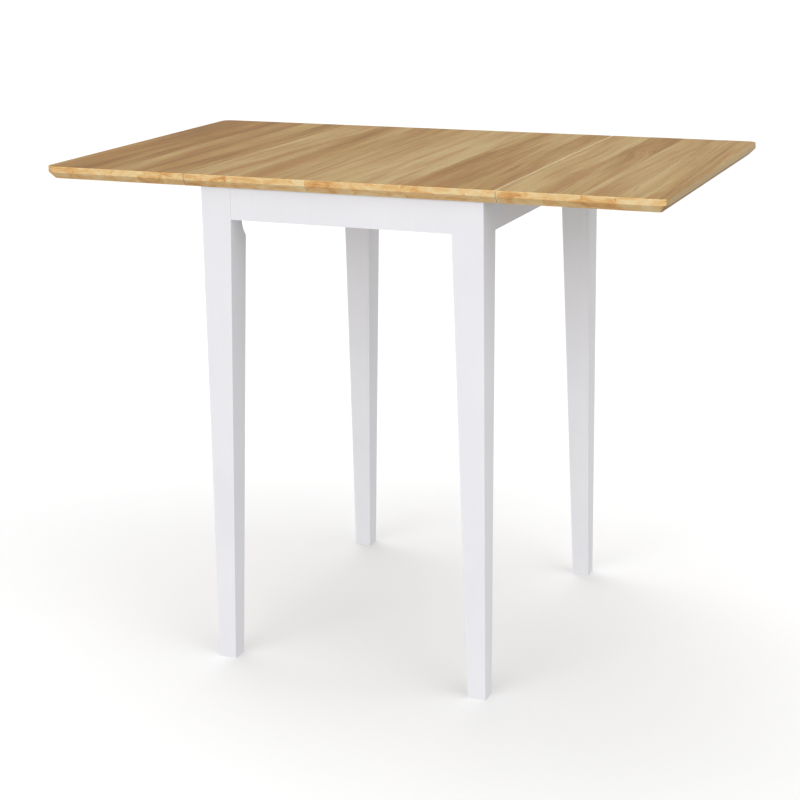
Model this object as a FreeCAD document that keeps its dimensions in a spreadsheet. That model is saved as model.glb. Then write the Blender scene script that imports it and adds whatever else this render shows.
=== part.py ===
import FreeCAD
import Part
import Sketcher
import math
import os

from FreeCAD import Placement, Rotation, Vector

# Drop leaf table: a fixed centre top on an apron frame with four tapered legs, two hinged leaves and four
# pull-out leaf supports. Millimetres, +X along the open top, +Y to the back, +Z up, origin on the floor
# under the middle of the table.

SIZES = {
    # top
    "table_height": 750,
    "board_thickness": 19,
    "board_depth": 563,
    "centre_width": 475,
    "leaf_width": 234.5,
    "seam_gap": 1,
    "edge_face": 9,
    "bevel_inset": 10,
    "corner_radius": 14,
    "arris_radius": 1.2,
    # legs and aprons
    "frame_width": 434,
    "frame_depth": 537,
    "leg_top": 47,
    "leg_foot": 27,
    "leg_arris": 1.5,
    "leg_flat": 14,
    "leg_flat_drop": 2,
    "drum_radius": 50,
    "apron_height": 47,
    "apron_thickness": 19,
    "apron_recess": 0.8,
    "rail_thickness": 20,
    "rail_height": 40,
    # leaf supports
    "loper_width": 30,
    "loper_height": 18,
    "loper_travel": 160,
    "loper_play": 0.5,
    "loper_tail": 12,
    "right_loper_offset": 103,
    "left_loper_offset": 147,
    "stop_radius": 4,
    "stop_length": 26,
    "stop_gap": 0.5,
    "stop_skin": 2,
    "stop_end_gap": 0.5,
    "loper_arris": 1,
    "grip_radius": 14,
    "grip_depth": 6,
    "grip_setback": 70,
    # hinges
    "hinge_offset": 205,
    "hinge_length": 54,
    "hinge_drop": 3.5,
    "plate_thickness": 2,
    "frame_plate_reach": 17,
    "leaf_plate_reach": 34,
    "knuckle_radius": 3,
    "knuckle_clearance": 0.4,
    "pin_radius": 1.5,
    "pin_play": 0.05,
    "strap_start": 0.6,
    "sink_play": 0.1,
    # corner joints
    "bracket_gap": 8,
    "bracket_thickness": 2,
    "bracket_height": 36,
    "bracket_wing": 32,
    "bolt_radius": 4,
    "bolt_hold": 32,
    "bolt_tail": 7,
    "bolt_end_gap": 1,
    "bolt_nose_radius": 1,
    "bolt_play": 0.3,
    "washer_radius": 9,
    "washer_thickness": 1.6,
    "nut_radius": 7.2,
    "nut_height": 6.5,
    # top fixings and screws
    "angle_size": 20,
    "angle_width": 16,
    "angle_thickness": 2,
    "angle_offset": 100,
    "screw_head_radius": 3.4,
    "screw_shank_radius": 1.75,
    "screw_head_height": 1.8,
    "screw_length": 14,
    "screw_tip_radius": 0.3,
    "slot_width": 0.8,
    "slot_depth": 0.8,
    "slot_lead": 0.2,
    "hole_play": 0.05,
    "dowel_radius": 4,
    "dowel_length": 30,
    "rail_socket": 17,
    "apron_socket": 14,
    "dowel_end_gap": 0.5,
}

doc = FreeCAD.newDocument("drop_leaf_table")
sheet = doc.addObject("Spreadsheet::Sheet", "Sizes")
for row, (alias, number) in enumerate(SIZES.items(), start=1):
    sheet.set(f"A{row}", alias)
    sheet.set(f"B{row}", str(number))
    sheet.setAlias(f"B{row}", alias)
doc.recompute()

nodes = []

# Derived places, as expressions on the sheet.
UNDERSIDE = "(Sizes.table_height - Sizes.board_thickness)"
APRON_BOTTOM = f"({UNDERSIDE} - Sizes.apron_height)"
SEAM_X = "(Sizes.centre_width / 2 + Sizes.seam_gap / 2)"
LEAF_X = "(Sizes.centre_width / 2 + Sizes.seam_gap)"
PIN_Z = f"({UNDERSIDE} - Sizes.hinge_drop)"
APRON_INSIDE = "(Sizes.apron_recess + Sizes.apron_thickness)"
LOPER_TOP = f"({UNDERSIDE} - Sizes.loper_play)"
NOTCH_DEPTH = "(Sizes.loper_height + 2 * Sizes.loper_play)"
NOTCH_WIDTH = "(Sizes.loper_width + 2 * Sizes.loper_play)"
APRON_MIDDLE = f"({UNDERSIDE} - Sizes.apron_height / 2)"
ANGLE_HOLE = "(Sizes.angle_size * 0.6)"
BRACKET_SCREW_LIFT = "(Sizes.bracket_height * 0.28)"
SCREW_POINT = "(Sizes.screw_length * 0.2)"
BOLT_POINT = "(Sizes.bolt_hold * 0.25)"

# Where screws sit, as shares of the length or reach of the plate that they hold.
HINGE_SCREW_SPREAD = (-0.37, 0, 0.37)
FRAME_PLATE_SCREWS = (0.58, 0.58, 0.58)
LEAF_PLATE_SCREWS = (0.40, 0.76, 0.40)
WING_SCREWS = (0.38, 0.78)


def value(expression):
    """The number that an expression on the sheet gives."""
    return float(sheet.evalExpression(str(expression)))


def bind(obj, **expressions):
    for name, expression in expressions.items():
        obj.setExpression(name, str(expression))
    return obj


def place(obj, at, rotation=None):
    """Puts obj at three expressions, turned by rotation."""
    obj.Placement = Placement(Vector(*[value(e) for e in at]), rotation or Rotation())
    for axis, expression in zip("xyz", at):
        obj.setExpression(f"Placement.Base.{axis}", str(expression))
    return obj


def node(obj, label):
    """Names obj as one of the table's pieces."""
    obj.Label = label
    nodes.append(obj)
    return obj


# ---- sketches and features ----


def new_body(name):
    body = doc.addObject("PartDesign::Body", name)
    return body


def plane_sketch(body, name, role, offset=None):
    """A sketch on one of the body's own origin planes."""
    sketch = body.newObject("Sketcher::SketchObject", name)
    plane = [f for f in body.Origin.OriginFeatures if f.Role == role][0]
    sketch.AttachmentSupport = [(plane, "")]
    sketch.MapMode = "FlatFace"
    if offset:
        sketch.AttachmentOffset = offset
    return sketch


def pin_point(sketch, geometry, end, x, y):
    """Holds one point of a sketch at two expressions from the sketch's origin."""
    for kind, expression in (("DistanceX", x), ("DistanceY", y)):
        number = value(expression)
        index = sketch.addConstraint(Sketcher.Constraint(kind, -1, 1, geometry, end, number))
        sketch.setExpression(f"Constraints[{index}]", str(expression))


def outline(sketch, points):
    """A closed outline of straight lines through points, each a pair of expressions."""
    places = [Vector(value(x), value(y), 0) for x, y in points]
    count = len(points)
    for i in range(count):
        sketch.addGeometry(Part.LineSegment(places[i], places[(i + 1) % count]), False)
    for i in range(count):
        sketch.addConstraint(Sketcher.Constraint("Coincident", i, 2, (i + 1) % count, 1))
    for i, (x, y) in enumerate(points):
        pin_point(sketch, i, 1, x, y)


def circles(sketch, centres, radius):
    for x, y in centres:
        centre = Vector(value(x), value(y), 0)
        index = sketch.addGeometry(Part.Circle(centre, Vector(0, 0, 1), value(radius)), False)
        pin_point(sketch, index, 3, x, y)
        mark = sketch.addConstraint(Sketcher.Constraint("Radius", index, value(radius)))
        sketch.setExpression(f"Constraints[{mark}]", str(radius))


def pad(body, sketch, length, both=False, reverse=False):
    feature = body.newObject("PartDesign::Pad", "Pad")
    feature.Profile = sketch
    feature.SideType = "Symmetric" if both else "One side"
    feature.Reversed = reverse
    bind(feature, Length=length)
    doc.recompute()
    return feature


def pocket(body, sketch, length, both=False, reverse=False):
    """Cuts the sketch out of the body, and checks that it took something away."""
    before = body.Shape.Volume
    feature = body.newObject("PartDesign::Pocket", "Pocket")
    feature.Profile = sketch
    feature.SideType = "Symmetric" if both else "One side"
    feature.Reversed = reverse
    bind(feature, Length=length)
    doc.recompute()
    if not body.Shape.Volume < before - 1:
        raise RuntimeError(f"{body.Label}: the pocket {sketch.Label} cut nothing")
    return feature


def edges_where(shape, test):
    return [f"Edge{i}" for i, edge in enumerate(shape.Edges, start=1) if test(edge)]


def dress(body, kind, test, ChamferType=None, **sizes):
    """A Fillet or Chamfer on those edges of the body's tip that pass the test."""
    base = body.Tip
    names = edges_where(base.Shape, test)
    feature = body.newObject(f"PartDesign::{kind}", kind)
    feature.Base = (base, names)
    if ChamferType:
        feature.ChamferType = ChamferType
    bind(feature, **sizes)
    doc.recompute()
    if not feature.Shape.isValid():
        raise RuntimeError(f"{body.Label}: the {kind.lower()} left an invalid shape")
    return feature


def along(edge, axis):
    """True for a straight edge along an axis."""
    if not isinstance(edge.Curve, (Part.Line, Part.LineSegment)):
        return False
    ends = edge.Vertexes[-1].Point - edge.Vertexes[0].Point
    return abs(ends.normalize().dot(axis)) > 0.999


def primitive(kind, name, at=(0, 0, 0), rotation=None, **sizes):
    obj = doc.addObject(f"Part::{kind}", name)
    bind(obj, **sizes)
    return place(obj, at, rotation)


def fuse(name, shapes):
    obj = doc.addObject("Part::MultiFuse", name)
    obj.Shapes = shapes
    return obj


def cut(name, base, tool):
    obj = doc.addObject("Part::Cut", name)
    obj.Base = base
    obj.Tool = tool
    return obj


def group_of(label, master, placements):
    """One node that holds copies of the master piece as separate solids."""
    doc.recompute()
    copies = []
    for placement in placements:
        copy = master.Shape.copy()
        copy.Placement = placement
        copies.append(copy)
    group = doc.addObject("Part::Feature", label)
    group.Shape = Part.makeCompound(copies)
    group.Placement = Placement()
    return node(group, label)


X_AXIS = Vector(1, 0, 0)
Y_AXIS = Vector(0, 1, 0)
Z_AXIS = Vector(0, 0, 1)
CORNERS = {
    "front_left": (-1, -1, 0),
    "front_right": (1, -1, 90),
    "rear_right": (1, 1, 180),
    "rear_left": (-1, 1, 270),
}
SIDES = {"right": 1, "left": -1}
ENDS = {"front": -1, "rear": 1}


# ---- tabletop boards ----


def screw_holes(body, centres, name):
    """Pilot holes up into the underside of a board."""
    sketch = plane_sketch(body, name, "XY_Plane")
    circles(sketch, centres, "Sizes.screw_shank_radius + Sizes.hole_play")
    pocket(body, sketch, "Sizes.screw_length", reverse=True)


def board(label, width, start, outer_end, holes):
    """A board with its underside at local height 0. outer_end says if the far end is shaped too."""
    body = new_body(label)
    half = "Sizes.board_depth / 2"
    sketch = plane_sketch(body, f"{label}_plan", "XY_Plane")
    far = f"{start} + {width}"
    outline(sketch, [(start, f"-{half}"), (far, f"-{half}"), (far, half), (start, half)])
    pad(body, sketch, "Sizes.board_thickness")
    low, high = value(start), value(far)
    depth = value(half)
    shaped = [high] if outer_end else []
    if outer_end:
        dress(body, "Fillet", lambda e: along(e, Z_AXIS) and abs(e.CenterOfMass.x - high) < 1,
              Radius="Sizes.corner_radius")

    def on_rim(edge, height):
        """An edge of the front, back or far end, at a height."""
        centre = edge.CenterOfMass
        if abs(centre.z - height) > 0.01 or along(edge, Z_AXIS):
            return False
        if any(abs(centre.x - x) < 4 for x in shaped):
            return True
        return abs(abs(centre.y) - depth) < 0.01

    dress(body, "Chamfer", lambda e: on_rim(e, 0), ChamferType="Two distances",
          Size="Sizes.board_thickness - Sizes.edge_face", Size2="Sizes.bevel_inset")
    top = value("Sizes.board_thickness")
    dress(body, "Fillet", lambda e: abs(e.CenterOfMass.z - top) < 0.01, Radius="Sizes.arris_radius")
    screw_holes(body, holes, f"{label}_pilots")
    return body


def hinge_screw_rows(own):
    """Screw places of a hinge plate, as (distance from the pin, place along the hinge)."""
    outs = FRAME_PLATE_SCREWS if own == "frame" else LEAF_PLATE_SCREWS
    return [
        (f"Sizes.{own}_plate_reach * {out}", f"Sizes.hinge_length * {k}")
        for out, k in zip(outs, HINGE_SCREW_SPREAD)
    ]


def centre_holes():
    """Pilot holes for the hinge screws and the top-fixing angles."""
    places = []
    for side in SIDES.values():
        for end in ENDS.values():
            for out, along_pin in hinge_screw_rows("frame"):
                places.append((f"{side} * ({SEAM_X} - {out})", f"{end} * Sizes.hinge_offset + {along_pin}"))
    for x, y, _ in angle_places():
        places.append((x, y))
    return places


def leaf_holes():
    places = []
    for end in ENDS.values():
        for out, along_pin in hinge_screw_rows("leaf"):
            places.append((f"Sizes.seam_gap / -2 + {out}", f"{end} * Sizes.hinge_offset + {along_pin}"))
    return places


# ---- top-fixing angles ----


def angle_places():
    """The screw into the top of each fixing angle: x, y and the way its upright faces."""
    inset = f"({APRON_INSIDE} + {ANGLE_HOLE})"
    places = []
    for end, turn in ((-1, 0), (1, 180)):
        for side in (-1, 1):
            y = f"{end} * (Sizes.frame_depth / 2 - {inset})"
            places.append((f"{side} * Sizes.angle_offset", y, turn))
    for side, turn in ((-1, 270), (1, 90)):
        places.append((f"{side} * (Sizes.frame_width / 2 - {inset})", "0", turn))
    return places


def build_top():
    body = board("centre_top", "Sizes.centre_width", "Sizes.centre_width / -2", False, centre_holes())
    node(place(body, ("0", "0", UNDERSIDE)), "centre_top")
    for name, side in SIDES.items():
        leaf = board(f"{name}_leaf", "Sizes.leaf_width", "0", True, leaf_holes())
        turn = Rotation(Z_AXIS, 0 if side > 0 else 180)
        node(place(leaf, (f"{side} * {LEAF_X}", "0", UNDERSIDE), turn), f"{name}_leaf")


# ---- legs ----


def leg(label):
    """A leg with its outside corner at the local origin and its inside corner towards +X +Y."""
    body = new_body(label)
    top, foot = "Sizes.leg_top", "Sizes.leg_foot"
    square = plane_sketch(body, f"{label}_square", "XY_Plane")
    outline(square, [("0", "0"), (top, "0"), (top, top), ("0", top)])
    pad(body, square, UNDERSIDE)
    for role in ("XZ_Plane", "YZ_Plane"):
        wedge = plane_sketch(body, f"{label}_taper_{role[:2]}", role)
        outline(wedge, [(foot, "0"), (top, APRON_BOTTOM), (f"{top} + 5", APRON_BOTTOM), (f"{top} + 5", "0")])
        pocket(body, wedge, f"3 * {top}", both=True)
    full_height = value(UNDERSIDE)
    dress(body, "Fillet", lambda e: abs(e.Length - full_height) < 0.01, Radius="Sizes.leg_arris")

    # The flat for the corner bracket, cut across the inside corner, with the run-out of the sanding drum.
    diagonal = Placement(Vector(), Rotation(Y_AXIS, 45))
    face = "(Sizes.leg_top * sqrt(2) - Sizes.leg_flat / sqrt(2))"
    stop = f"({APRON_BOTTOM} - Sizes.leg_flat_drop)"
    flat = plane_sketch(body, f"{label}_flat", "XZ_Plane", diagonal)
    far = f"{face} + 20"
    above = f"{UNDERSIDE} + 5"
    outline(flat, [(face, stop), (far, stop), (far, above), (face, above)])
    pocket(body, flat, "2 * Sizes.leg_top", both=True)
    drum = plane_sketch(body, f"{label}_run_out", "XZ_Plane", diagonal)
    circles(drum, [(f"{face} + Sizes.drum_radius", stop)], "Sizes.drum_radius")
    pocket(body, drum, "2 * Sizes.leg_top", both=True)

    # The hanger bolt's hole, square to the flat.
    reach = value(face) / math.sqrt(2)
    across = Placement(Vector(reach, value(APRON_MIDDLE), -reach), Rotation(Y_AXIS, -45))
    hole = plane_sketch(body, f"{label}_bolt_hole", "XZ_Plane", across)
    circles(hole, [("0", "0")], "Sizes.bolt_radius + Sizes.hole_play")
    pocket(body, hole, "Sizes.bolt_hold + Sizes.bolt_end_gap", reverse=True)
    return body


def at_corner(obj, corner):
    """Places a piece made about a leg's outside corner at that corner of the frame."""
    side, end, turn = CORNERS[corner]
    at = (f"{side} * Sizes.frame_width / 2", f"{end} * Sizes.frame_depth / 2", "0")
    return place(obj, at, Rotation(Z_AXIS, turn))


def corner_placement(corner, local):
    """The same corner as a Placement, for one copy in a group."""
    side, end, turn = CORNERS[corner]
    base = Vector(side * value("Sizes.frame_width / 2"), end * value("Sizes.frame_depth / 2"), 0)
    return Placement(base, Rotation(Z_AXIS, turn)).multiply(local)


def build_legs():
    for corner in CORNERS:
        node(at_corner(leg(f"{corner}_leg"), corner), f"{corner}_leg")


# ---- aprons and cross rail ----


def bracket_screw_places():
    """Along each apron from the leg's outside corner: the two screws of a bracket wing."""
    start = "(Sizes.leg_top * 2 - Sizes.leg_flat + Sizes.bracket_gap * sqrt(2))"
    bend = f"({start} - {APRON_INSIDE})"
    return [f"({bend} + Sizes.bracket_wing * {k})" for k in WING_SCREWS]


def rail(label, length, height, thickness, notches, holes, depth):
    """A rail along local X with its top at height 0 and its near face at local Y 0.

    notches are the middles of the leaf-support notches; holes are (x, z) on the far face.
    """
    body = new_body(label)
    half = f"({length} / 2)"
    profile = plane_sketch(body, f"{label}_face", "XZ_Plane")
    points = [(f"-{half}", "0"), (f"-{half}", f"-{height}"), (half, f"-{height}"), (half, "0")]
    for middle in sorted(notches, key=value, reverse=True):
        right = f"({middle}) + {NOTCH_WIDTH} / 2"
        left = f"({middle}) - {NOTCH_WIDTH} / 2"
        floor = f"-{NOTCH_DEPTH}"
        points += [(right, "0"), (right, floor), (left, floor), (left, "0")]
    outline(profile, points)
    pad(body, profile, thickness, reverse=True)
    if holes:
        inside = Placement(Vector(0, 0, -value(thickness)), Rotation())
        sketch = plane_sketch(body, f"{label}_pilots", "XZ_Plane", inside)
        circles(sketch, holes, "Sizes.screw_shank_radius + Sizes.hole_play")
        pocket(body, sketch, depth, reverse=True)
    return body


def apron_holes(length, angles):
    """Pilot holes on an apron's inside face: four bracket screws a side of the middle, and the angles."""
    holes = []
    for side in SIDES.values():
        for out in bracket_screw_places():
            x = f"{side} * ({length} / 2 + Sizes.leg_top - {out})"
            for lift in (-1, 1):
                holes.append((x, f"-Sizes.apron_height / 2 + {lift} * {BRACKET_SCREW_LIFT}"))
    for x in angles:
        holes.append((x, f"-{ANGLE_HOLE}"))
    return holes


def build_aprons():
    long_run = "(Sizes.frame_width - 2 * Sizes.leg_top)"
    short_run = "(Sizes.frame_depth - 2 * Sizes.leg_top)"
    height, thickness = "Sizes.apron_height", "Sizes.apron_thickness"
    depth = "Sizes.screw_length"
    for name, end in ENDS.items():
        angles = ["Sizes.angle_offset", "-Sizes.angle_offset"]
        holes = apron_holes(long_run, angles)
        apron = rail(f"{name}_apron", long_run, height, thickness, [], holes, depth)
        dowel_socket(apron, name)
        y = f"{end} * (Sizes.frame_depth / 2 - Sizes.apron_recess)"
        node(place(apron, ("0", y, UNDERSIDE), Rotation(Z_AXIS, 0 if end < 0 else 180)), f"{name}_apron")
    for name, side in SIDES.items():
        offset = f"Sizes.{name}_loper_offset"
        holes = apron_holes(short_run, ["0"])
        apron = rail(f"{name}_apron", short_run, height, thickness, [offset, f"-{offset}"], holes, depth)
        x = f"{side} * (Sizes.frame_width / 2 - Sizes.apron_recess)"
        node(place(apron, (x, "0", UNDERSIDE), Rotation(Z_AXIS, 90 * side)), f"{name}_apron")


DOWEL_HEIGHTS = ["Sizes.rail_height * 0.62", "Sizes.rail_height * 0.86"]


def dowel_socket(apron, name):
    """Two blind holes on the inside face for the cross rail's dowels."""
    inside = Placement(Vector(0, 0, -value("Sizes.apron_thickness")), Rotation())
    sketch = plane_sketch(apron, f"{name}_dowel_sockets", "XZ_Plane", inside)
    circles(sketch, [("0", f"-{lift}") for lift in DOWEL_HEIGHTS], "Sizes.dowel_radius + Sizes.hole_play")
    pocket(apron, sketch, "Sizes.apron_socket", reverse=True)


def build_cross_rail():
    length = f"(Sizes.frame_depth - 2 * {APRON_INSIDE})"
    offsets = [f"{end} * Sizes.{name}_loper_offset" for name in SIDES for end in ENDS.values()]
    body = rail("cross_rail", length, "Sizes.rail_height", "Sizes.rail_thickness", offsets, [], "0")
    for end in ENDS.values():
        offset = Placement(Vector(0, 0, end * value(f"{length} / 2")), Rotation())
        sketch = plane_sketch(body, "rail_dowel_holes", "YZ_Plane", offset)
        places = [("Sizes.rail_thickness / 2", f"-{lift}") for lift in DOWEL_HEIGHTS]
        circles(sketch, places, "Sizes.dowel_radius + Sizes.hole_play")
        pocket(body, sketch, "Sizes.rail_socket", reverse=end < 0)
    node(place(body, ("Sizes.rail_thickness / 2", "0", UNDERSIDE), Rotation(Z_AXIS, 90)), "cross_rail")

    dowel = primitive("Cylinder", "dowel", Radius="Sizes.dowel_radius", Height="Sizes.dowel_length")
    placements = []
    for end in ENDS.values():
        inside = f"Sizes.frame_depth / 2 - {APRON_INSIDE}"
        reach = value(f"{inside} - Sizes.rail_socket + Sizes.dowel_end_gap")
        for lift in DOWEL_HEIGHTS:
            base = Vector(0, end * reach, value(UNDERSIDE) - value(lift))
            placements.append(Placement(base, Rotation(X_AXIS, -90 * end)))
    group_of("cross_rail_dowels", dowel, placements)


# ---- corner brackets with their bolts ----


def bracket(label):
    """A bent steel plate about the leg's outside corner, its two wings on the aprons' inside faces."""
    body = new_body(label)
    wall, thick = APRON_INSIDE, "Sizes.bracket_thickness"
    bend = f"(Sizes.leg_top * 2 - Sizes.leg_flat + Sizes.bracket_gap * sqrt(2) - {wall})"
    tip = f"({bend} + Sizes.bracket_wing)"
    inner_bend = f"({bend} + {thick} * (sqrt(2) - 1))"
    inner = f"({wall} + {thick})"
    points = [(tip, wall), (bend, wall), (wall, bend), (wall, tip)]
    points += [(inner, tip), (inner, inner_bend), (inner_bend, inner), (tip, inner)]
    sketch = plane_sketch(body, f"{label}_strip", "XY_Plane")
    outline(sketch, points)
    pad(body, sketch, "Sizes.bracket_height")
    hole_radius = "Sizes.screw_shank_radius + Sizes.hole_play"
    for role in ("XZ_Plane", "YZ_Plane"):
        holes = plane_sketch(body, f"{label}_holes_{role[:2]}", role)
        places = []
        for out in bracket_screw_places():
            for lift in (-1, 1):
                places.append((out, f"Sizes.bracket_height / 2 + {lift} * {BRACKET_SCREW_LIFT}"))
        circles(holes, places, hole_radius)
        pocket(body, holes, f"{inner} + 1", reverse=role == "YZ_Plane")
    across = Placement(Vector(), Rotation(Y_AXIS, -45))
    bolt_hole = plane_sketch(body, f"{label}_bolt_hole", "XZ_Plane", across)
    circles(bolt_hole, [("0", "Sizes.bracket_height / 2")], "Sizes.bolt_radius + Sizes.bolt_play")
    pocket(body, bolt_hole, "4 * Sizes.leg_top", both=True)
    return body


BRACKET_LOW = f"({APRON_MIDDLE} - Sizes.bracket_height / 2)"
FLAT_OUT = "(Sizes.leg_top * sqrt(2) - Sizes.leg_flat / sqrt(2))"
BRACKET_FACE = f"({FLAT_OUT} + Sizes.bracket_gap + Sizes.bracket_thickness)"


def on_diagonal(corner, distance):
    """A copy that points along the corner's diagonal, starting at a distance from the outside corner."""
    reach = value(distance) / math.sqrt(2)
    inward = Rotation(Z_AXIS, Vector(1, 1, 0))
    return corner_placement(corner, Placement(Vector(reach, reach, value(APRON_MIDDLE)), inward))


def screw_slot(name, start):
    """The tool that cuts a driver slot into a screw head, from a height up."""
    return primitive("Box", name, ("-Sizes.screw_head_radius", "-Sizes.slot_width / 2", start),
                     Length="2 * Sizes.screw_head_radius", Width="Sizes.slot_width",
                     Height="Sizes.slot_depth + Sizes.slot_lead")


def screw_master():
    """A countersunk wood screw, its head's face at the origin and its tip up +Z."""
    head = primitive("Cone", "screw_head", Radius1="Sizes.screw_head_radius",
                     Radius2="Sizes.screw_shank_radius", Height="Sizes.screw_head_height")
    shank = primitive("Cylinder", "screw_shank", ("0", "0", "Sizes.screw_head_height"),
                      Radius="Sizes.screw_shank_radius",
                      Height=f"Sizes.screw_length - Sizes.screw_head_height - {SCREW_POINT}")
    tip = primitive("Cone", "screw_tip", ("0", "0", f"Sizes.screw_length - {SCREW_POINT}"),
                    Radius1="Sizes.screw_shank_radius", Radius2="Sizes.screw_tip_radius",
                    Height=SCREW_POINT)
    slot = screw_slot("screw_slot", "-Sizes.slot_lead")
    return cut("wood_screw", fuse("screw_body", [head, shank, tip]), slot)


def round_screw_master():
    """A pan-head wood screw, the underside of its head at the origin and its tip up +Z."""
    head_height = "Sizes.screw_head_height"
    head = primitive("Cylinder", "pan_head", ("0", "0", f"-{head_height}"),
                     Radius="Sizes.screw_head_radius", Height=head_height)
    straight = f"(Sizes.screw_length - {SCREW_POINT})"
    shank = primitive("Cylinder", "pan_shank", Radius="Sizes.screw_shank_radius", Height=straight)
    tip = primitive("Cone", "pan_tip", ("0", "0", straight), Radius1="Sizes.screw_shank_radius",
                    Radius2="Sizes.screw_tip_radius", Height=f"{SCREW_POINT} * 0.75")
    slot = screw_slot("pan_slot", f"-{head_height} - Sizes.slot_lead")
    return cut("pan_screw", fuse("pan_body", [head, shank, tip]), slot)


def build_brackets(pan_screw):
    for corner in CORNERS:
        plate = bracket(f"{corner}_bracket")
        side, end, turn = CORNERS[corner]
        at = (f"{side} * Sizes.frame_width / 2", f"{end} * Sizes.frame_depth / 2", BRACKET_LOW)
        node(place(plate, at, Rotation(Z_AXIS, turn)), f"{corner}_bracket")

    stack = "(Sizes.bracket_gap + Sizes.bracket_thickness + Sizes.washer_thickness + Sizes.nut_height)"
    thread = primitive("Cylinder", "bolt_rod", ("0", "0", BOLT_POINT), Radius="Sizes.bolt_radius",
                       Height=f"Sizes.bolt_hold + {stack} + Sizes.bolt_tail - {BOLT_POINT}")
    nose = primitive("Cone", "bolt_nose", Radius1="Sizes.bolt_nose_radius", Radius2="Sizes.bolt_radius",
                     Height=BOLT_POINT)
    bolt = fuse("hanger_bolt", [nose, thread])
    group_of("hanger_bolts", bolt, [on_diagonal(c, f"{FLAT_OUT} - Sizes.bolt_hold") for c in CORNERS])

    rim = primitive("Cylinder", "washer_rim", Radius="Sizes.washer_radius", Height="Sizes.washer_thickness")
    bore = primitive("Cylinder", "washer_bore", Radius="Sizes.bolt_radius + Sizes.bolt_play",
                     Height="Sizes.washer_thickness")
    group_of("bracket_washers", cut("washer", rim, bore), [on_diagonal(c, BRACKET_FACE) for c in CORNERS])

    hexagon = doc.addObject("Part::Prism", "nut_hexagon")
    hexagon.Polygon = 6
    bind(hexagon, Circumradius="Sizes.nut_radius", Height="Sizes.nut_height")
    nut_bore = primitive("Cylinder", "nut_bore", Radius="Sizes.bolt_radius + Sizes.hole_play",
                         Height="Sizes.nut_height")
    seat = f"{BRACKET_FACE} + Sizes.washer_thickness"
    group_of("bracket_nuts", cut("nut", hexagon, nut_bore), [on_diagonal(c, seat) for c in CORNERS])

    placements = []
    wall = value(f"{APRON_INSIDE} + Sizes.bracket_thickness")
    for corner in CORNERS:
        for out in [value(e) for e in bracket_screw_places()]:
            for lift in (-1, 1):
                height = value(f"{APRON_MIDDLE} + {lift} * {BRACKET_SCREW_LIFT}")
                wings = (
                    (Vector(out, wall, height), Rotation(X_AXIS, 90)),
                    (Vector(wall, out, height), Rotation(Y_AXIS, -90)),
                )
                for base, turn in wings:
                    placements.append(corner_placement(corner, Placement(base, turn)))
    group_of("bracket_screws", pan_screw, placements)


def build_top_angles(pan_screw):
    """Bent steel angles that hold the centre top down on the aprons."""
    size, thick = "Sizes.angle_size", "Sizes.angle_thickness"
    width = "Sizes.angle_width"
    upright = primitive("Box", "angle_upright", (f"-{width} / 2", "0", f"-{size}"),
                        Length=width, Width=thick, Height=size)
    flange = primitive("Box", "angle_flange", (f"-{width} / 2", "0", f"-{thick}"),
                       Length=width, Width=size, Height=thick)
    hole_radius = "Sizes.screw_shank_radius + Sizes.hole_play"
    drilled = [
        primitive("Cylinder", "angle_top_hole", ("0", ANGLE_HOLE, f"-{size}"),
                  Radius=hole_radius, Height=size),
        primitive("Cylinder", "angle_side_hole", ("0", "0", f"-{ANGLE_HOLE}"), Rotation(X_AXIS, -90),
                  Radius=hole_radius, Height=size),
    ]
    angle = cut("top_angle", fuse("angle_body", [upright, flange]), fuse("angle_holes", drilled))
    angle_spots, screw_spots = [], []
    for x, y, turn in angle_places():
        facing = Rotation(Z_AXIS, turn)
        set_back = facing.multVec(Vector(0, value(ANGLE_HOLE), 0))
        corner = Vector(value(x), value(y), value(UNDERSIDE)) - set_back
        base = Placement(corner, facing)
        angle_spots.append(base)
        up = Placement(Vector(0, value(ANGLE_HOLE), -value(thick)), Rotation())
        back = Placement(Vector(0, value(thick), -value(ANGLE_HOLE)), Rotation(X_AXIS, 90))
        screw_spots += [base.multiply(up), base.multiply(back)]
    group_of("top_angles", angle, angle_spots)
    group_of("top_angle_screws", pan_screw, screw_spots)


# ---- hinges ----


def knuckle_spans(own):
    """Start and length of the frame plate's three knuckles or the leaf plate's two, along the hinge."""
    step = "Sizes.hinge_length / 5"
    play = "Sizes.knuckle_clearance"
    if own == "frame":
        return [(f"Sizes.hinge_length * {k}", step) for k in (-0.5, -0.1, 0.3)]
    return [(f"Sizes.hinge_length * {k} + {play}", f"{step} - 2 * {play}") for k in (-0.3, 0.1)]


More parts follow.
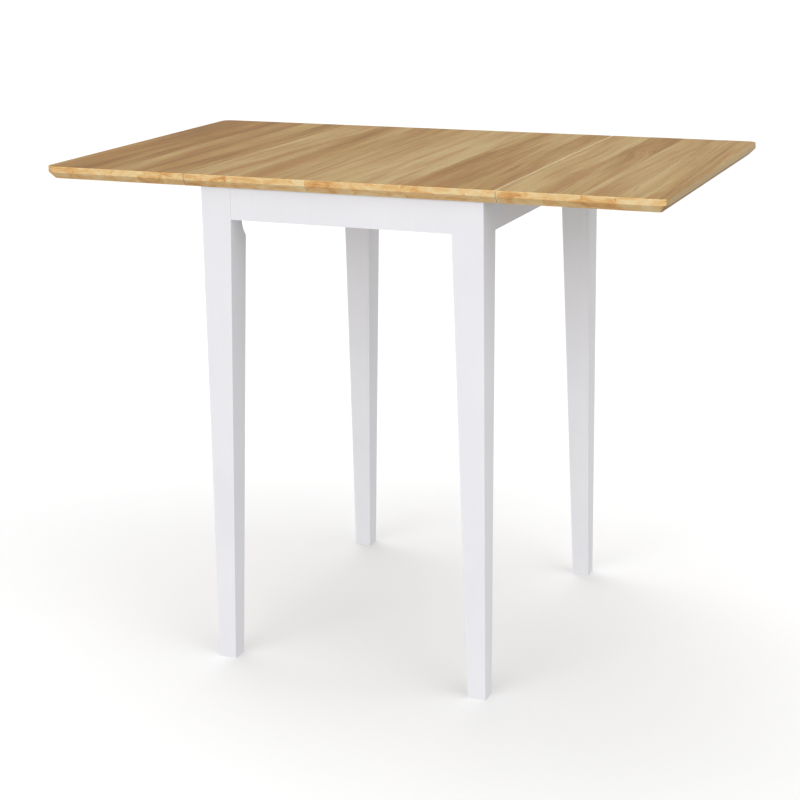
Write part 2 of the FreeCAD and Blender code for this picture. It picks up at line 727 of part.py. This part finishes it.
def hinge_plate(label, own):
    """A hinge plate about the pin's axis, which is local Y. The plate lies towards +X, under the board."""
    reach = f"Sizes.{own}_plate_reach"
    thick = "Sizes.plate_thickness"
    low = f"Sizes.hinge_drop - {thick}"
    clear = "(Sizes.knuckle_radius + Sizes.knuckle_clearance)"
    flat = primitive("Box", f"{label}_flat", (clear, "-Sizes.hinge_length / 2", low),
                     Length=f"{reach} - {clear}", Width="Sizes.hinge_length", Height=thick)
    solids = [flat]
    turn = Rotation(X_AXIS, -90)
    for i, (start, length) in enumerate(knuckle_spans(own)):
        solids.append(primitive("Box", f"{label}_strap{i}", ("Sizes.strap_start", start, low),
                                Length=clear, Width=length, Height=thick))
        solids.append(primitive("Cylinder", f"{label}_knuckle{i}", ("0", start, "0"), turn,
                                Radius="Sizes.knuckle_radius", Height=length))
    play = "Sizes.pin_play" if own == "leaf" else "0"
    tools = [primitive("Cylinder", f"{label}_bore", ("0", "-Sizes.hinge_length / 2", "0"), turn,
                       Radius=f"Sizes.pin_radius + {play}", Height="Sizes.hinge_length")]
    for i, (out, along_pin) in enumerate(hinge_screw_rows(own)):
        at = (out, along_pin, low)
        tools.append(primitive("Cone", f"{label}_sink{i}", at, Height="Sizes.screw_head_height",
                               Radius1="Sizes.screw_head_radius + Sizes.sink_play",
                               Radius2="Sizes.screw_shank_radius + Sizes.sink_play"))
        tools.append(primitive("Cylinder", f"{label}_hole{i}", at, Height="3 * Sizes.plate_thickness",
                               Radius="Sizes.screw_shank_radius + Sizes.sink_play"))
    return cut(label, fuse(f"{label}_solid", solids), fuse(f"{label}_tools", tools))


def build_hinges(screw):
    screw_spots = {"frame": [], "left_leaf": [], "right_leaf": []}
    low = value("Sizes.hinge_drop - Sizes.plate_thickness")
    for side_name, side in SIDES.items():
        for end_name, end in ENDS.items():
            prefix = f"{end_name}_{side_name}_hinge"
            at = (f"{side} * {SEAM_X}", f"{end} * Sizes.hinge_offset", PIN_Z)
            outward = Rotation(Z_AXIS, 0 if side > 0 else 180)
            inward = Rotation(Z_AXIS, 180 if side > 0 else 0)
            plates = {"frame": inward, "leaf": outward}
            for own, turn in plates.items():
                plate = hinge_plate(f"{prefix}_{own}_plate", own)
                node(place(plate, at, turn), f"{prefix}_{own}_plate")
                body = "frame" if own == "frame" else f"{side_name}_leaf"
                base = Placement(Vector(*[value(e) for e in at]), turn)
                for out, along_pin in hinge_screw_rows(own):
                    spot = Placement(Vector(value(out), value(along_pin), low), Rotation())
                    screw_spots[body].append(base.multiply(spot))
            pin = primitive("Cylinder", f"{prefix}_pin", Radius="Sizes.pin_radius",
                            Height="Sizes.hinge_length")
            y = f"{end} * Sizes.hinge_offset - Sizes.hinge_length / 2"
            node(place(pin, (f"{side} * {SEAM_X}", y, PIN_Z), Rotation(X_AXIS, -90)), f"{prefix}_pin")
    group_of("frame_hinge_screws", screw, screw_spots["frame"])
    group_of("left_leaf_hinge_screws", screw, screw_spots["left_leaf"])
    group_of("right_leaf_hinge_screws", screw, screw_spots["right_leaf"])


# ---- pull-out leaf supports ----

STOP_X = "(Sizes.loper_travel + Sizes.rail_thickness / 2 + Sizes.stop_radius + Sizes.stop_gap)"
LOPER_LENGTH = f"(Sizes.frame_width / 2 - Sizes.apron_recess + {STOP_X} + Sizes.loper_tail)"


def loper(label):
    """A support that points to +X, with its outer end at local X 0 and its top at height 0."""
    body = new_body(label)
    half = "Sizes.loper_width / 2"
    plan = plane_sketch(body, f"{label}_plan", "XY_Plane")
    inner = f"-{LOPER_LENGTH}"
    outline(plan, [(inner, f"-{half}"), ("0", f"-{half}"), ("0", half), (inner, half)])
    pad(body, plan, "Sizes.loper_height", reverse=True)
    dress(body, "Fillet", lambda e: along(e, X_AXIS), Radius="Sizes.loper_arris")
    grip = plane_sketch(body, f"{label}_grip", "XZ_Plane")
    middle = "-Sizes.loper_height - Sizes.grip_radius + Sizes.grip_depth"
    circles(grip, [("-Sizes.grip_setback", middle)], "Sizes.grip_radius")
    pocket(body, grip, "2 * Sizes.loper_width", both=True)
    socket = plane_sketch(body, f"{label}_stop_hole", "XY_Plane",
                          Placement(Vector(0, 0, -value("Sizes.loper_height")), Rotation()))
    circles(socket, [(f"-({LOPER_LENGTH} - Sizes.loper_tail)", "0")], "Sizes.stop_radius + Sizes.hole_play")
    pocket(body, socket, "Sizes.loper_height - Sizes.stop_skin", reverse=True)
    return body


def build_lopers():
    outer = "(Sizes.frame_width / 2 - Sizes.apron_recess)"
    for side_name, side in SIDES.items():
        for end_name, end in ENDS.items():
            prefix = f"{end_name}_{side_name}_loper"
            y = f"{end} * Sizes.{side_name}_loper_offset"
            piece = loper(prefix)
            turn = Rotation(Z_AXIS, 0 if side > 0 else 180)
            node(place(piece, (f"{side} * {outer}", y, LOPER_TOP), turn), prefix)
            stop = primitive("Cylinder", f"{prefix}_stop", Radius="Sizes.stop_radius",
                             Height="Sizes.stop_length")
            z = f"{LOPER_TOP} - Sizes.stop_skin - Sizes.stop_end_gap - Sizes.stop_length"
            node(place(stop, (f"{-side} * {STOP_X}", y, z)), f"{prefix}_stop")


# ---- build, check and write ----


def check_document():
    doc.recompute()
    for obj in doc.Objects:
        if "Invalid" in obj.State or "Error" in obj.State:
            raise RuntimeError(f"{obj.Label} failed: {obj.State}")
    for obj in nodes:
        if obj.Shape.isNull() or not obj.Shape.isValid():
            raise RuntimeError(f"{obj.Label} has no valid shape")


def write_parts():
    os.makedirs("parts", exist_ok=True)
    for obj in nodes:
        obj.Shape.exportStep(f"parts/{obj.Label}.step")
        print(f"{obj.Label}: {len(obj.Shape.Solids)} solid(s), {obj.Shape.Volume / 1000:.2f} cm3")


def main():
    build_top()
    build_legs()
    build_aprons()
    build_cross_rail()
    pan_screw = round_screw_master()
    build_brackets(pan_screw)
    build_top_angles(pan_screw)
    build_hinges(screw_master())
    build_lopers()
    check_document()
    write_parts()


main()
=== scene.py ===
"""Looks for the drop leaf table: camera, light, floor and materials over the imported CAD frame."""

import math

import bmesh
import bpy
from mathutils import Matrix, Vector

# Camera: where it stands (m), where it points and how it is framed.
CAMERA_PLACE = (1.0231, -2.4591, 1.1387)
CAMERA_YAW = math.radians(22.834)
CAMERA_PITCH = math.radians(13.732)
CAMERA_ROLL = math.radians(-0.81)
CAMERA_LENS = 78.85
CAMERA_SHIFT = (-0.0072, -0.1000)

# Studio: a white floor and backdrop, a surround that glows, and soft suns.
WHITE = (1.0, 1.0, 1.0, 1.0)
BLACK = (0.0, 0.0, 0.0, 1.0)
FLOOR_COLOUR = (0.94, 0.94, 0.94, 1.0)
FLOOR_REACH = 60.0
BACKDROP_RADIUS = 55.0
FLOOR_GLOW = 0.60
SKY_GLOW = 0.45
HORIZON_BLEND = 0.1

# Each sun: its name, the direction it shines in, its strength, how many degrees it
# spreads over, and whether glossy surfaces mirror it.
SUNS = (
    ("front", (0.22, 0.94, -0.24), 1.32, 50.0, True),
    ("right", (-0.85, 0.20, -0.49), 0.75, 60.0, True),
    ("rear_left", (0.45, -0.50, -0.74), 1.00, 60.0, False),
    ("ceiling", (-0.10, 0.15, -0.98), 0.85, 70.0, True),
)

# The top is glued up from staves that run from front to back. Each row is where a stave
# ends on its right-hand side (m) and its tone, from 0, dark brown, to 1, pale yellow.
STAVES = (
    (-0.4100, 0.20),
    (-0.3620, 0.08),
    (-0.3180, 0.40),
    (-0.2750, 0.42),
    (-0.2380, 0.32),
    (-0.1720, 0.70),
    (-0.1100, 0.48),
    (-0.0450, 0.56),
    (0.0230, 0.78),
    (0.0980, 0.92),
    (0.1480, 0.36),
    (0.1950, 0.52),
    (0.2380, 0.40),
    (0.3020, 0.66),
    (0.3560, 0.44),
    (0.4020, 0.58),
    (0.4800, 0.56),
)
STAVE_LOW = -0.48
STAVE_HIGH = 0.48
RIGHT_SEAM = 0.238
TOP_HEIGHT = 0.75
KNOT_PLACE = (0.330, 0.130)
KNOT_PUSH = 0.016
PITH_HEIGHT = 0.705

# Wood tones, linear RGB, from the darkest to the palest.
FACE_TONES = (
    (0.00, (0.262, 0.124, 0.026)),
    (0.35, (0.362, 0.204, 0.060)),
    (0.65, (0.434, 0.276, 0.104)),
    (1.00, (0.508, 0.366, 0.162)),
)
END_TONES = (
    (0.00, (0.520, 0.215, 0.058)),
    (0.35, (0.730, 0.405, 0.140)),
    (0.65, (0.810, 0.540, 0.235)),
    (1.00, (0.850, 0.660, 0.360)),
)
RAW_TONES = (
    (0.00, (0.400, 0.235, 0.115)),
    (0.50, (0.560, 0.380, 0.205)),
    (1.00, (0.680, 0.500, 0.300)),
)

# Single colours, linear RGB.
VEIN_BROWN = (0.22, 0.100, 0.030)
KNOT_BROWN = (0.16, 0.070, 0.022)
BLUSH_RED = (0.36, 0.165, 0.048)
PORE_BROWN = (0.16, 0.075, 0.026)
# Painted light: the lighter tone given to the top's side faces.
SIDE_PAINTED_LIGHT = (0.74, 0.56, 0.30)
# Painted shade: the brown given to downward-facing bevels.
UNDERCUT_PAINTED_SHADE = (0.32, 0.17, 0.06)
# Painted highlight: the lighter tones along the right seam, on the top and on the end faces.
SEAM_PAINTED_HIGHLIGHT = (0.74, 0.60, 0.36)
SEAM_END_PAINTED_HIGHLIGHT = (0.86, 0.70, 0.42)
FLECK_BROWN = (0.27, 0.15, 0.07)
PAINT_SHADES = ((0.840, 0.838, 0.872), (0.872, 0.869, 0.902))
ZINC_SHADES = ((0.52, 0.53, 0.55), (0.70, 0.71, 0.72))


class Graph:
    """A material's node tree, with short calls for the nodes used here."""

    def __init__(self, name):
        self.material = bpy.data.materials.new(name)
        self.material.use_nodes = True
        self.tree = self.material.node_tree
        self.shader = self.tree.nodes["Principled BSDF"]
        coordinates = self.add("ShaderNodeTexCoord")
        self.place = coordinates.outputs["Object"]
        self.normal = coordinates.outputs["Normal"]

    def add(self, kind, **settings):
        made = self.tree.nodes.new(kind)
        for key, value in settings.items():
            setattr(made, key, value)
        return made

    def feed(self, socket, value):
        """Links a socket to the input, or sets the input to a number or a colour."""
        if isinstance(value, bpy.types.NodeSocket):
            self.tree.links.new(value, socket)
        else:
            socket.default_value = value

    def math(self, operation, *values):
        made = self.add("ShaderNodeMath", operation=operation)
        for socket, value in zip(made.inputs, values):
            self.feed(socket, value)
        return made.outputs[0]

    def length(self, x, y):
        """The length of the vector (x, y)."""
        squares = [self.math("MULTIPLY", part, part) for part in (x, y)]
        return self.math("SQRT", self.math("ADD", *squares))

    def split(self, vector):
        made = self.add("ShaderNodeSeparateXYZ")
        self.feed(made.inputs[0], vector)
        return made.outputs["X"], made.outputs["Y"], made.outputs["Z"]

    def join(self, x, y, z):
        made = self.add("ShaderNodeCombineXYZ")
        for socket, value in zip(made.inputs, (x, y, z)):
            self.feed(socket, value)
        return made.outputs[0]

    def scaled(self, parts, scales):
        """A vector of three parts, each times a scale of its own."""
        return self.join(*[self.math("MULTIPLY", part, scale) for part, scale in zip(parts, scales)])

    def noise(self, vector, scale=1.0, detail=2.0, roughness=0.5, distortion=0.0):
        made = self.add("ShaderNodeTexNoise")
        self.feed(made.inputs["Vector"], vector)
        made.inputs["Scale"].default_value = scale
        made.inputs["Detail"].default_value = detail
        made.inputs["Roughness"].default_value = roughness
        made.inputs["Distortion"].default_value = distortion
        return made.outputs["Fac"]

    def spread(self, value, low, high, new_low=0.0, new_high=1.0):
        made = self.add("ShaderNodeMapRange", clamp=True)
        limits = (value, low, high, new_low, new_high)
        for socket, limit in zip(made.inputs, limits):
            self.feed(socket, limit)
        return made.outputs[0]

    def ramp(self, value, stops, interpolation="LINEAR"):
        made = self.add("ShaderNodeValToRGB")
        made.color_ramp.interpolation = interpolation
        elements = made.color_ramp.elements
        while len(elements) < len(stops):
            elements.new(1.0)
        for element, (position, colour) in zip(elements, stops):
            element.position = position
            element.color = (*colour, 1.0)
        self.feed(made.inputs[0], value)
        return made.outputs["Color"]

    def mix(self, share, first, second):
        made = self.add("ShaderNodeMix", data_type="RGBA", blend_type="MIX")
        self.feed(made.inputs["Factor"], share)
        for name, value in (("A", first), ("B", second)):
            socket = next(s for s in made.inputs if s.name == name and s.type == "RGBA")
            self.feed(socket, value if isinstance(value, bpy.types.NodeSocket) else (*value, 1.0))
        return next(s for s in made.outputs if s.type == "RGBA")

    def bump(self, height, distance):
        made = self.add("ShaderNodeBump")
        made.inputs["Distance"].default_value = distance
        self.feed(made.inputs["Height"], height)
        self.feed(self.shader.inputs["Normal"], made.outputs[0])

    def set(self, **values):
        """Sets or links the shader's inputs: base_color="Base Color" and so on."""
        for key, value in values.items():
            self.feed(self.shader.inputs[key.replace("_", " ").title()], value)


def staircase(values):
    """Stops that hold one value over each stave, as a constant ramp wants them."""
    stops = []
    start = 0.0
    for (end, _), value in zip(STAVES, values):
        stops.append((start, (value, value, value)))
        start = (end - STAVE_LOW) / (STAVE_HIGH - STAVE_LOW)
    return stops


def stave_patterns(graph, x):
    """The tone of the stave at x, a number that sets its grain apart, and its middle."""
    along = graph.spread(x, STAVE_LOW, STAVE_HIGH)
    tone = graph.ramp(along, staircase([tone for _, tone in STAVES]), "CONSTANT")
    numbers = [((7 * index) % len(STAVES)) / len(STAVES) for index in range(len(STAVES))]
    number = graph.ramp(along, staircase(numbers), "CONSTANT")
    ends = [STAVE_LOW] + [end for end, _ in STAVES]
    middles = [(left + right) / 2 - STAVE_LOW for left, right in zip(ends, ends[1:])]
    middle = graph.math("ADD", graph.ramp(along, staircase(middles), "CONSTANT"), STAVE_LOW)
    return tone, number, middle


def grain_path(graph, x, y, z, number):
    """A coordinate across the grain that leans, sways and swerves round the knot.

    Also gives the distance from the knot, and how near the knot is, from 0 to 1.
    """
    lean = graph.math("MULTIPLY", graph.math("SUBTRACT", number, 0.4), 0.08)
    apart = graph.math("MULTIPLY", number, 9.0)
    sway = graph.noise(graph.join(apart, graph.math("MULTIPLY", y, 3.2), 0.0), detail=1.0)
    across = graph.math("ADD", x, graph.math("SUBTRACT", z, TOP_HEIGHT))
    path = graph.math("MULTIPLY_ADD", y, lean, across)
    path = graph.math("MULTIPLY_ADD", sway, 0.016, path)
    knot_x = graph.math("SUBTRACT", x, KNOT_PLACE[0])
    knot_y = graph.math("MULTIPLY", graph.math("SUBTRACT", y, KNOT_PLACE[1]), 0.40)
    knot_reach = graph.length(knot_x, knot_y)
    off_knot = graph.spread(knot_reach, 0.002, 0.030)
    path = graph.math("MULTIPLY_ADD", off_knot, -KNOT_PUSH, path)
    return path, knot_reach, off_knot


def long_grain(graph, x, y, z, tone, number):
    """The colour of the top's long-grain faces, and the layers that its sheen and bump use."""
    path, knot_reach, off_knot = grain_path(graph, x, y, z, number)
    apart = graph.math("MULTIPLY", number, 9.0)

    def stretched(across, along, detail, roughness=0.5, layer=0.0):
        """Noise that is long in the grain's direction, from about -1 to 1, 0 on average."""
        place = graph.join(
            graph.math("MULTIPLY", path, across),
            graph.math("MULTIPLY", y, along),
            graph.math("ADD", apart, layer),
        )
        fac = graph.noise(place, detail=detail, roughness=roughness)
        return graph.spread(fac, 0.30, 0.70, -1.0, 1.0)

    broad = stretched(24.0, 1.7, 3.0)
    streak = stretched(85.0, 2.6, 4.0, 0.6, 3.0)
    line = stretched(320.0, 4.0, 4.0, 0.65, 6.0)
    fibre = stretched(1400.0, 22.0, 1.0, 0.5, 9.0)
    level = tone
    for layer, share in ((broad, 0.34), (streak, 0.24), (line, 0.24), (fibre, 0.10)):
        level = graph.math("MULTIPLY_ADD", layer, share, level)
    face = graph.ramp(level, FACE_TONES)

    figure = graph.math("MULTIPLY_ADD", streak, 0.22, graph.math("MULTIPLY", path, 64.0))
    rings = graph.math("PINGPONG", graph.math("MULTIPLY_ADD", broad, 0.9, figure), 0.5)
    shown = graph.spread(stretched(14.0, 3.0, 2.0, 0.5, 12.0), -0.1, 0.5)
    shown = graph.math("MAXIMUM", shown, graph.math("SUBTRACT", 1.0, off_knot))
    veins = graph.math("MULTIPLY", graph.spread(rings, 0.38, 0.5), shown)
    face = graph.mix(graph.math("MULTIPLY", veins, 0.45), face, VEIN_BROWN)
    knot = graph.spread(knot_reach, 0.0015, 0.0045, 0.45, 0.0)
    face = graph.mix(knot, face, KNOT_BROWN)

    blush = graph.spread(stretched(45.0, 3.0, 2.0, 0.5, 15.0), 0.35, 0.95, 0.0, 0.5)
    face = graph.mix(blush, face, BLUSH_RED)
    pores = graph.spread(stretched(2100.0, 110.0, 1.0, 0.5, 18.0), 0.45, 0.85, 0.0, 0.30)
    face = graph.mix(pores, face, PORE_BROWN)
    return face, streak, fibre, pores


def end_grain(graph, x, z, number, stave_middle, facing_z):
    """The colour of the front and back edges: ring arcs and patches, with painted shade where they face
    downwards.
    """
    patches = graph.noise(
        graph.scaled((x, number, z), (26.0, 1.6, 62.0)),
        detail=4.0,
        roughness=0.65,
        distortion=0.9,
    )
    patches = graph.spread(patches, 0.33, 0.67, -1.0, 1.0)
    off_pith = graph.math("MULTIPLY_ADD", number, 0.030, graph.math("SUBTRACT", x, stave_middle))
    above_pith = graph.math("MULTIPLY_ADD", number, 0.050, graph.math("SUBTRACT", z, PITH_HEIGHT))
    ring_count = graph.math("MULTIPLY", graph.length(off_pith, above_pith), 260.0)
    arcs = graph.math("PINGPONG", graph.math("MULTIPLY_ADD", patches, 0.35, ring_count), 0.5)
    level = graph.math("MULTIPLY_ADD", number, 0.24, 0.53)
    level = graph.math("MULTIPLY_ADD", patches, 0.44, level)
    level = graph.math("MULTIPLY_ADD", arcs, 0.40, level)
    level = graph.math("SUBTRACT", level, 0.10)
    # Painted shade: faces that turn downwards are darkened towards brown, standing in for the shade
    # under the edges.
    painted_undercut_shade = graph.spread(facing_z, -0.5, -0.3, 0.16, 0.0)
    return graph.mix(painted_undercut_shade, graph.ramp(level, END_TONES), UNDERCUT_PAINTED_SHADE)


def top_wood():
    """Clear-lacquered light hardwood staves, with end grain on the front and back edges."""
    graph = Graph("top_wood")
    x, y, z = graph.split(graph.place)
    facing_x, facing_y, facing_z = graph.split(graph.normal)
    tone, number, stave_middle = stave_patterns(graph, x)

    face, streak, fibre, pores = long_grain(graph, x, y, z, tone, number)
    # Painted light: faces that turn along x are mixed towards a lighter tone, standing in for the light
    # that falls on them.
    side_painted_light = graph.spread(graph.math("ABSOLUTE", facing_x), 0.80, 0.95, 0.0, 0.45)
    face = graph.mix(side_painted_light, face, SIDE_PAINTED_LIGHT)
    end = end_grain(graph, x, z, number, stave_middle, facing_z)

    # Painted highlight: a lighter line along the right seam on the top and the end faces, standing in
    # for the seam's rounded edges catching the light.
    beside_seam = graph.math("ABSOLUTE", graph.math("SUBTRACT", x, RIGHT_SEAM))
    seam_highlight = graph.spread(beside_seam, 0.0012, 0.0026, 0.75, 0.0)
    face = graph.mix(seam_highlight, face, SEAM_PAINTED_HIGHLIGHT)
    end = graph.mix(seam_highlight, end, SEAM_END_PAINTED_HIGHLIGHT)

    is_end = graph.spread(graph.math("ABSOLUTE", facing_y), 0.45, 0.65)
    sheen = graph.math("MULTIPLY_ADD", streak, 0.05, 0.46)
    graph.set(base_color=graph.mix(is_end, face, end), roughness=sheen)
    graph.shader.inputs["Specular IOR Level"].default_value = 0.25
    graph.bump(graph.math("MULTIPLY_ADD", pores, -1.5, fibre), 0.00008)
    return graph.material


def white_paint():
    """Satin white paint over wood: faint brush lines, grain telegraphing through, slight tone."""
    graph = Graph("white_paint")
    cloud = graph.noise(graph.place, scale=9.0, detail=3.0)
    grain = graph.noise(
        graph.scaled(graph.split(graph.place), (260.0, 260.0, 12.0)), detail=3.0
    )
    peel = graph.noise(graph.place, scale=420.0, detail=1.0)
    shade = graph.math("MULTIPLY_ADD", graph.math("SUBTRACT", grain, 0.5), 0.25, cloud)
    colour = graph.mix(graph.spread(shade, 0.3, 0.7), *PAINT_SHADES)
    graph.set(base_color=colour, roughness=graph.spread(shade, 0.3, 0.7, 0.36, 0.46))
    graph.bump(graph.math("MULTIPLY_ADD", grain, 0.5, peel), 0.00010)
    return graph.material


def plain_wood(name, axis):
    """Sanded bare hardwood whose grain runs along the given axis, 0 for X or 1 for Y."""
    graph = Graph(name)
    stretch = [220.0, 220.0, 220.0]
    stretch[axis] = 7.0
    place = graph.scaled(graph.split(graph.place), stretch)
    grain = graph.noise(place, detail=4.0, roughness=0.6)
    broad = graph.noise(place, scale=0.16, detail=2.0)
    level = graph.math("MULTIPLY_ADD", graph.math("SUBTRACT", grain, 0.5), 0.8, broad)
    fleck = graph.noise(place, scale=3.2, detail=1.0)
    flecks = graph.spread(fleck, 0.62, 0.72, 0.0, 0.4)
    colour = graph.mix(flecks, graph.ramp(level, RAW_TONES), FLECK_BROWN)
    graph.set(base_color=colour, roughness=graph.spread(grain, 0.3, 0.7, 0.55, 0.72))
    graph.bump(grain, 0.00025)
    return graph.material


def zinc_steel():
    """Bright zinc plate on steel: fine spangle, a little brushing and uneven gloss."""
    graph = Graph("zinc_steel")
    brushed = graph.noise(
        graph.scaled(graph.split(graph.place), (2400.0, 90.0, 2400.0)), detail=2.0
    )
    spangle = graph.noise(graph.place, scale=180.0, detail=3.0, distortion=0.6)
    colour = graph.mix(graph.spread(spangle, 0.3, 0.7), *ZINC_SHADES)
    gloss = graph.math("MULTIPLY_ADD", graph.math("SUBTRACT", brushed, 0.5), 0.18, 0.34)
    graph.set(base_color=colour, metallic=1.0, roughness=gloss)
    graph.bump(brushed, 0.00003)
    return graph.material


def dress_nodes(nodes):
    """Gives every CAD node its material."""
    finishes = {
        "top": top_wood(),
        "paint": white_paint(),
        "wood_x": plain_wood("plain_wood_x", 0),
        "wood_y": plain_wood("plain_wood_y", 1),
        "zinc": zinc_steel(),
    }
    for name, obj in nodes.items():
        if name in ("centre_top", "right_leaf", "left_leaf"):
            finish = finishes["top"]
        elif name.endswith(("_leg", "_apron")):
            finish = finishes["paint"]
        elif name.startswith("cross_rail"):
            finish = finishes["wood_y"]
        elif "_loper" in name:
            finish = finishes["wood_x"]
        else:
            finish = finishes["zinc"]
        obj.data.materials.clear()
        obj.data.materials.append(finish)
        for polygon in obj.data.polygons:
            polygon.material_index = 0


def add_to_scene(name, data):
    made = bpy.data.objects.new(name, data)
    bpy.context.scene.collection.objects.link(made)
    return made


def build_camera():
    data = bpy.data.cameras.new("camera")
    data.lens = CAMERA_LENS
    data.sensor_width = 36.0
    data.shift_x, data.shift_y = CAMERA_SHIFT
    data.clip_start = 0.05
    data.clip_end = 200.0
    camera = add_to_scene("camera", data)
    turn = (
        Matrix.Rotation(CAMERA_YAW, 4, "Z")
        @ Matrix.Rotation(math.pi / 2 - CAMERA_PITCH, 4, "X")
        @ Matrix.Rotation(CAMERA_ROLL, 4, "Z")
    )
    camera.matrix_world = Matrix.Translation(CAMERA_PLACE) @ turn
    bpy.context.scene.camera = camera


def sun_light(name, toward, strength, spread, glossy):
    data = bpy.data.lights.new(name, "SUN")
    data.energy = strength
    data.angle = math.radians(spread)
    light = add_to_scene(name, data)
    light.matrix_world = Vector(toward).to_track_quat("-Z", "Y").to_matrix().to_4x4()
    light.visible_glossy = glossy


def build_surround():
    """World light that comes a little more strongly from below the horizon than from above."""
    world = bpy.data.worlds.new("surround")
    world.use_nodes = True
    nodes = world.node_tree.nodes
    links = world.node_tree.links
    direction = nodes.new("ShaderNodeTexCoord")
    height = nodes.new("ShaderNodeSeparateXYZ")
    blend = nodes.new("ShaderNodeMapRange")
    limits = (-HORIZON_BLEND, HORIZON_BLEND, FLOOR_GLOW, SKY_GLOW)
    for socket, limit in zip(blend.inputs[1:5], limits):
        socket.default_value = limit
    links.new(direction.outputs["Generated"], height.inputs[0])
    links.new(height.outputs["Z"], blend.inputs[0])
    links.new(blend.outputs[0], nodes["Background"].inputs["Strength"])
    nodes["Background"].inputs["Color"].default_value = WHITE
    bpy.context.scene.world = world


def build_floor():
    """A white floor that shows and takes shadows, and throws no light on the table."""
    mesh = bpy.data.meshes.new("floor")
    corners = [(FLOOR_REACH * x, FLOOR_REACH * y, 0.0) for x, y in ((-1, -1), (1, -1), (1, 1), (-1, 1))]
    mesh.from_pydata(corners, [], [(0, 1, 2, 3)])
    graph = Graph("floor_white")
    graph.set(base_color=FLOOR_COLOUR, roughness=0.9)
    mesh.materials.append(graph.material)
    floor = add_to_scene("floor", mesh)
    floor.visible_diffuse = False
    floor.visible_glossy = False


def build_backdrop():
    """A white dome that closes the view above the floor and lights nothing."""
    mesh = bpy.data.meshes.new("backdrop")
    shell = bmesh.new()
    bmesh.ops.create_uvsphere(shell, u_segments=48, v_segments=24, radius=BACKDROP_RADIUS)
    shell.to_mesh(mesh)
    shell.free()
    graph = Graph("backdrop_white")
    graph.set(base_color=BLACK, roughness=1.0, emission_color=WHITE, emission_strength=1.0)
    mesh.materials.append(graph.material)
    backdrop = add_to_scene("backdrop", mesh)
    for ray in ("diffuse", "glossy", "transmission", "volume_scatter", "shadow"):
        setattr(backdrop, "visible_" + ray, False)


def build_studio():
    """A white floor and backdrop, an even surround and four soft suns."""
    build_surround()
    build_floor()
    build_backdrop()
    for sun in SUNS:
        sun_light(*sun)


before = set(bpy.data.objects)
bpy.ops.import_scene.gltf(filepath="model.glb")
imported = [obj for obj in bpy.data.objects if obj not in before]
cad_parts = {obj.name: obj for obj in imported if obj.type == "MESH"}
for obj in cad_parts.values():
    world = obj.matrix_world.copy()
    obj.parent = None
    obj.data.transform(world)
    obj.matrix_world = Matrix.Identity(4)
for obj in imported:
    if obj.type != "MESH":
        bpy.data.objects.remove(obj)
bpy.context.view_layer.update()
dress_nodes(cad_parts)
build_camera()
build_studio()
bpy.context.scene.view_settings.view_transform = "Standard"
